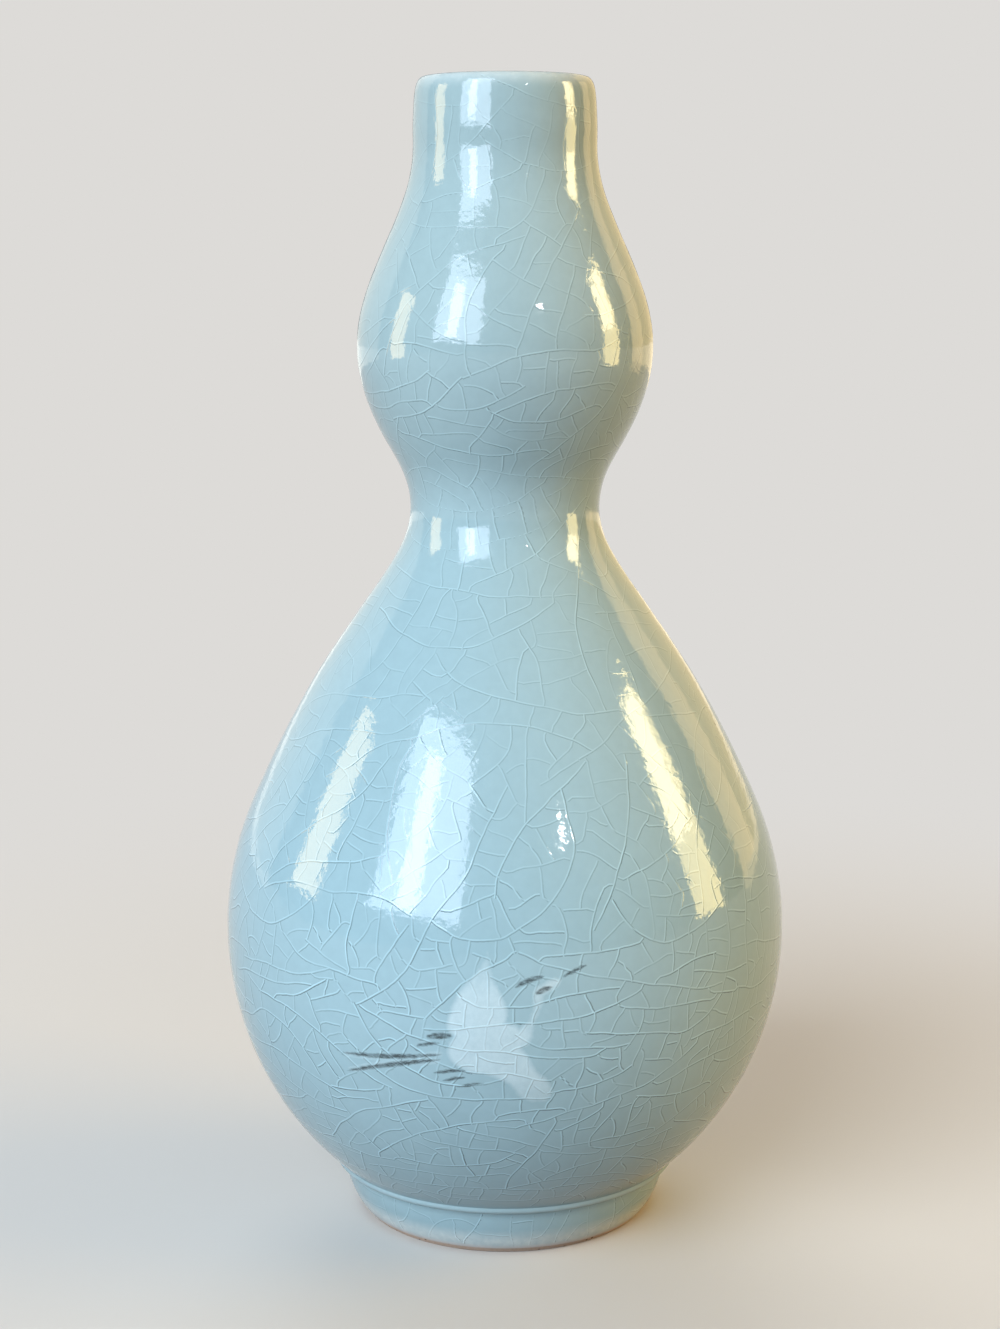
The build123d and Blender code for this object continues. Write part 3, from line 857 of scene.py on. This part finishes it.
# Most loose ends ran on under the strain that was left, until they too met another line or had run
# a few cell widths
left_loose, loose_reach = 0.15, 2.4
for number, (line, strength) in enumerate(crack_lines):
    for end in (0, 1):
        if end:
            line.reverse()
        (azimuth, place), (azimuth_before, place_before) = line[0], line[min(3, len(line) - 1)]
        met = cracked.get(crack_cell(azimuth, place), number) != number
        if met or crack_chance.random() < left_loose:
            continue
        heading = math.atan2(place - place_before, (azimuth - azimuth_before) * radius_at(place))
        reach = loose_reach * crack_spacing(azimuth, place)
        grown = run_crack(azimuth, place, heading, reach, 0, number)
        mark_crack(grown, number)
        line[:0] = grown[::-1]


def crack_painted_highlight_and_shade(tree, colour, place):
    """A fine edge with a painted highlight on its upper left side, where it is lit, and painted shade on
    its other.
    """
    colour = slip_tones(tree, colour, place)
    # The crack attribute's painted highlight and painted shade lighten and darken the glaze's colour
    crack = add_node(tree, "ShaderNodeAttribute", attribute_name="crack").outputs["Fac"]
    factor = add_node(tree, "ShaderNodeMath", [(crack, 0)], operation="MULTIPLY_ADD")
    factor.inputs[1].default_value = 0.36
    factor.inputs[2].default_value = 1.0
    edge = add_node(
        tree,
        "ShaderNodeMix",
        [(colour, 6), (factor.outputs[0], 7)],
        data_type="RGBA",
        blend_type="MULTIPLY",
    )
    edge.inputs[0].default_value = 1.0
    return edge.outputs[2]


# Each line is a low, closed ridge. It stands a hundredth of a millimetre over the glass. Its side
# that faces up and to the left, towards the light, carries a painted highlight and its other side
# painted shade. It is drawn 0.6 mm wide, of which about 0.4 mm shows, because the real hairline
# wouldn't show. Each row is a place across it, its lift, its painted highlight or shade, and its tilt.
ridge = [
    (0.30, -0.014, 0.4, 0.0), (0.19, 0.006, 0.85, 0.03), (0.07, 0.010, 0.7, 0.04),
    (-0.08, 0.006, -1.4, -0.12), (-0.32, -0.014, -0.8, 0.0),
]
wide = len(ridge)
# Away from the crane every third place is enough. The ends run on by a cap and sink into the glass.
ridge_stride, cap_reach, cap_lift = 3, 0.15, -0.02


def by_crane(azimuth, place):
    """Whether a spot lies near the crane, where the ridge takes its colours from the slip below."""
    spot = (radius_at(place) * math.sin(azimuth), height_at(place))
    return math.cos(azimuth) > 0 and all(slip_low[k] < spot[k] < slip_high[k] for k in (0, 1))


stations, crack_faces = [], []
for line, strength in crack_lines:
    kept = [spot for i, spot in enumerate(line[:-1]) if i % ridge_stride == 0 or by_crane(*spot)]
    kept.append(line[-1])
    if len(kept) < 3:
        continue
    first = len(stations)
    for i, (azimuth, place) in enumerate(kept):
        before, after = kept[max(i - 1, 0)], kept[min(i + 1, len(kept) - 1)]
        radius = radius_at(place)
        run = np.array([(after[0] - before[0]) * radius, after[1] - before[1]])
        run /= np.hypot(*run) or 1
        aside = np.array([-run[1], run[0]])
        # The side with the painted highlight is turned up and to the left, towards the light
        flip = aside[1] < aside[0]
        if flip:
            aside = -aside
        spot = Vector((radius * math.sin(azimuth), radius * math.cos(azimuth), place))
        ends = [(0.0, strength * (0.85 + 0.6 * noise.noise(spot / 4.0)))]
        if i == 0:
            ends.insert(0, (-cap_reach, 0))
        if i == len(kept) - 1:
            ends.append((cap_reach, 0))
        for on, force in ends:
            for off, lift, tone, tilt in reversed(ridge) if flip else ridge:
                spot_azimuth = azimuth + (aside[0] * off + run[0] * on) / radius
                spot_place = place + aside[1] * off + run[1] * on
                spot_lift = lift if force else cap_lift
                stations.append((spot_azimuth, spot_place, spot_lift, tone * force, tilt * force, *aside))
    for k in range(first + wide, len(stations), wide):
        crack_faces += [(k - wide + j, k - wide + 1 + j, k + 1 + j, k + j) for j in range(wide - 1)]
        crack_faces.append((k - wide, k, k + wide - 1, k - 1))
    last = len(stations) - wide
    crack_faces += [tuple(range(first + wide - 1, first - 1, -1)), tuple(range(last, last + wide))]
azimuth, place, lift, tone, tilt, aside_across, aside_up = np.array(stations).T
place = np.clip(place, 0.2, crest - 0.4)
height = np.interp(place, along, outline[:, 1])
spots = np.stack([np.interp(place, along, outline[:, 0]) * np.sin(azimuth), height], axis=1)
over_crane = (np.cos(azimuth) > 0) & np.all((spots > slip_low) & (spots < slip_high), axis=1)
column, row = ((spots[over_crane] - slip_low) / slip_step).round().astype(int).T
lift[over_crane] += np.maximum(slip_rise[row, column], 0)
# Height up the vase and how strongly the lines show there, in their painted highlight and shade and in
# their tilt
shown_heights, shown_shares = np.array([
    (8, 1.2), (14, 1.5), (32, 1.4), (50, 1.15), (90, 0.7), (118, 0.8), (130, 1.1), (145, 0.8),
    (160, 0.7), (180, 0.6),
]).T
vivid = np.interp(height, shown_heights, shown_shares)
round_axis, up_axis, out_axis = glaze_axes(azimuth, place)
aside = aside_across[:, None] * round_axis + aside_up[:, None] * up_axis
normals = out_axis + (tilt * vivid)[:, None] * aside
normals /= np.linalg.norm(normals, axis=1)[:, None]
crackle = new_piece("glaze_crackle", on_glaze(azimuth, place, lift), crack_faces, normals)
white, black = np.zeros(len(stations)), np.zeros(len(stations))
white[over_crane], black[over_crane] = slip_cover(spots[over_crane])
steps = np.arange(0, crest, 0.2)
# The crack attribute holds each ridge's painted highlight and painted shade
give(
    crackle,
    crack=tone * vivid * (1 - 0.35 * white),
    thin=np.interp(place, steps, [thinness(p) for p in steps]),
    bare=np.interp(place, steps, [bareness(p) for p in steps]),
    white=white,
    black=black,
)
crackle.data.materials.append(celadon("celadon_crackle", crack_painted_highlight_and_shade))
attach(crackle, "root")

# Inner glaze. Thin celadon was poured in, swilled round and poured out, so that the vase holds water.
# It meets the outer glaze at the lip's crest and lies 0.4 mm thick on the walls and the floor.
inner_outline = [
    (12.65, 185.0), (12.18, 184.89), (11.8, 184.59), (11.1, 183.28), (10.85, 181.82), (10.85, 179.5),
    (10.85, 175.9), (11.3, 169.9), (14.1, 160.9), (18.0, 151.9), (19.96, 142.9), (17.9, 133.9),
    (13.2, 124.9), (11.65, 117.6), (13.4, 109.9), (17.2, 103.9), (23.3, 94.9), (29.2, 85.9),
    (34.1, 76.9), (38.3, 67.9), (41.2, 58.9), (42.4, 49.9), (42.2, 43.9), (40.5, 34.9), (36.9, 25.9),
    (33.2, 19.9), (28.0, 13.9), (25.3, 11.6), (20.8, 10.4), (10.0, 10.4), (0.0, 10.4),
]
floor_height, wall_step, inner_sides = 10.4, 1.5, 150
inside = measured(smooth_line(inner_outline, 0.3))
floor_middle = inside[1][-1]
inner_places = [0.0]
while inner_places[-1] < floor_middle - 1.6:
    inner_places.append(inner_places[-1] + (close_step if inner_places[-1] < 4 else wall_step))
inner_back = [p for p in inner_places[::-2] if p > 0.5]
inner_glaze = turned(
    "inner_glaze_skin",
    inside,
    [(p, 0) for p in inner_places] + [(p, -glaze_depth) for p in inner_back],
    inner_sides,
    [fade(p, 3.2, 0.4) for p in inner_places] + [0] * len(inner_back),
    [0] * (len(inner_places) + len(inner_back)),
    middle=(len(inner_places) - 1, floor_height, floor_height - glaze_depth),
)
inner_glaze.data.materials.append(outer_glaze.data.materials[0])
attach(inner_glaze, "root")
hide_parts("inner_glaze")

# Base glaze. A ladle of the same celadon was swirled in the recess inside the foot ring, and it
# stands clear of the resting edge, which was wiped bare.
nodes["base_glaze"].data.materials.clear()
nodes["base_glaze"].data.materials.append(outer_glaze.data.materials[0])


# Clay. Both bulbs and the foot ring are iron-bearing stoneware, thrown, turned and fired. It shows
# only along the foot's resting edge, where the glaze was wiped away, as a matt, sandy pinkish buff.
def stoneware():
    """Unglazed fired stoneware: matt buff clay with fine sand and a few iron specks."""
    material, tree = new_material("stoneware")
    place = add_node(tree, "ShaderNodeTexCoord").outputs["Object"]
    # Sand of a quarter of a millimetre, and iron specks about a millimetre and a half apart
    sand = add_node(tree, "ShaderNodeTexNoise", [(place, "Vector")], Scale=1 / 0.0005, Detail=3.0)
    specks = add_node(tree, "ShaderNodeTexVoronoi", [(place, "Vector")], Scale=1 / 0.0015)
    tone = add_node(tree, "ShaderNodeMix", [(sand.outputs["Fac"], 0)], data_type="RGBA")
    tone.inputs[6].default_value = linear("#B99C88")
    tone.inputs[7].default_value = linear("#D3BCAA")
    speck = add_node(
        tree, "ShaderNodeMapRange", [(specks.outputs["Distance"], "Value")], From_Min=0.10, From_Max=0.18
    )
    iron = add_node(
        tree, "ShaderNodeMix", [(speck.outputs[0], 0), (tone.outputs[2], 7)], data_type="RGBA"
    )
    iron.inputs[6].default_value = linear("#6B4B38")
    grain = add_node(
        tree, "ShaderNodeBump", [(sand.outputs["Fac"], "Height")], Strength=0.4, Distance=0.0001
    )
    surface = add_node(
        tree,
        "ShaderNodeBsdfPrincipled",
        [(iron.outputs[2], "Base Color"), (grain.outputs[0], "Normal")],
        Roughness=0.85,
    )
    add_node(tree, "ShaderNodeOutputMaterial", [(surface.outputs[0], "Surface")])
    return material


fired_clay = stoneware()
for name in ("lower_bulb", "upper_bulb", "foot_ring"):
    nodes[name].data.materials.clear()
    nodes[name].data.materials.append(fired_clay)


# Joint slip. Runny clay of the same body was brushed on to lute the two bulbs at the waist, and the
# foot ring under the belly. It fired finer and paler than the thrown clay, and is hidden in the wall.
def luting_slip():
    """Fired slip: matt and pale, with finer grain than the clay it joins."""
    material, tree = new_material("luting_slip")
    place = add_node(tree, "ShaderNodeTexCoord").outputs["Object"]
    grain = add_node(tree, "ShaderNodeTexNoise", [(place, "Vector")], Scale=1 / 0.0004, Detail=2.0)
    tone = add_node(tree, "ShaderNodeMix", [(grain.outputs["Fac"], 0)], data_type="RGBA")
    tone.inputs[6].default_value = linear("#CDB8A6")
    tone.inputs[7].default_value = linear("#DCCBBB")
    surface = add_node(
        tree, "ShaderNodeBsdfPrincipled", [(tone.outputs[2], "Base Color")], Roughness=0.8
    )
    add_node(tree, "ShaderNodeOutputMaterial", [(surface.outputs[0], "Surface")])
    return material


joint_slip = luting_slip()
for name in ("waist_joint_slip", "foot_joint_slip"):
    nodes[name].data.materials.clear()
    nodes[name].data.materials.append(joint_slip)
